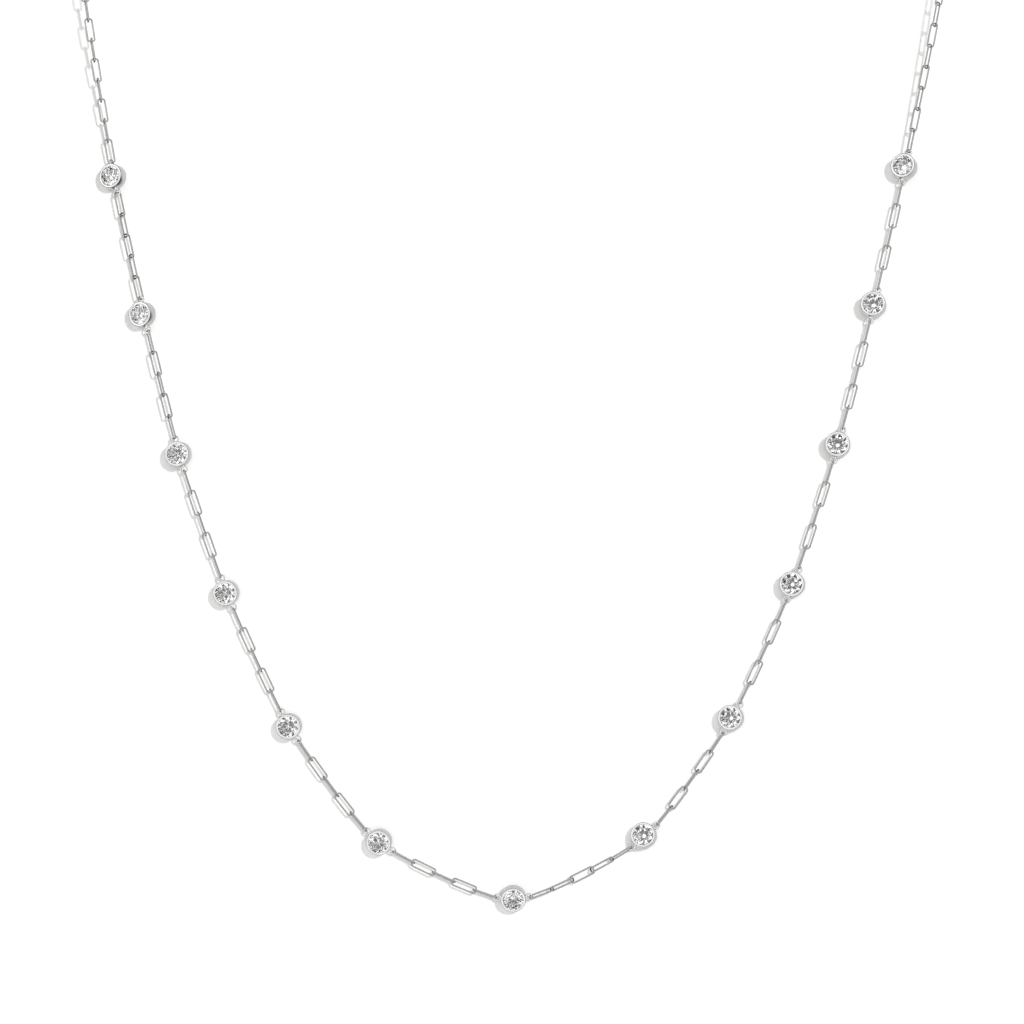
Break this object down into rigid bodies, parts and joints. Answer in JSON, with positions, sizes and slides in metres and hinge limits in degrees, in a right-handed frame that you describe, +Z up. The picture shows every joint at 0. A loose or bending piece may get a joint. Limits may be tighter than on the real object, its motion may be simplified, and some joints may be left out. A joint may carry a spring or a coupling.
{
  "type": "station necklace",
  "caption": "Fine paperclip-chain necklace with evenly spaced round bezel-set clear stones, worn hanging from the neck and closed at the nape by a spring ring.",
  "frame": {"origin": "middle of the closure at the nape, where the necklace hangs", "axes": "+Z up, -Y the way the stones face, +X to the right in the picture, which is the wearer's left"},
  "size_m": [0.122, 0.0398, 0.1622],
  "materials": {
    "white_gold": "polished white gold",
    "diamond": "faceted and polished, colourless"
  },
  "bodies": {
    "root": {"setting_01": "white_gold", "setting_02": "white_gold", "setting_03": "white_gold", "setting_04": "white_gold", "setting_05": "white_gold", "setting_06": "white_gold", "setting_07": "white_gold", "setting_08": "white_gold", "setting_09": "white_gold", "setting_10": "white_gold", "setting_11": "white_gold", "setting_12": "white_gold", "setting_13": "white_gold", "stone_01": "diamond", "stone_02": "diamond", "stone_03": "diamond", "stone_04": "diamond", "stone_05": "diamond", "stone_06": "diamond", "stone_07": "diamond", "stone_08": "diamond", "stone_09": "diamond", "stone_10": "diamond", "stone_11": "diamond", "stone_12": "diamond", "stone_13": "diamond", "chain_left": "white_gold", "chain_right": "white_gold", "spring_ring": "white_gold", "end_ring": "white_gold"}
  },
  "joints": []
}
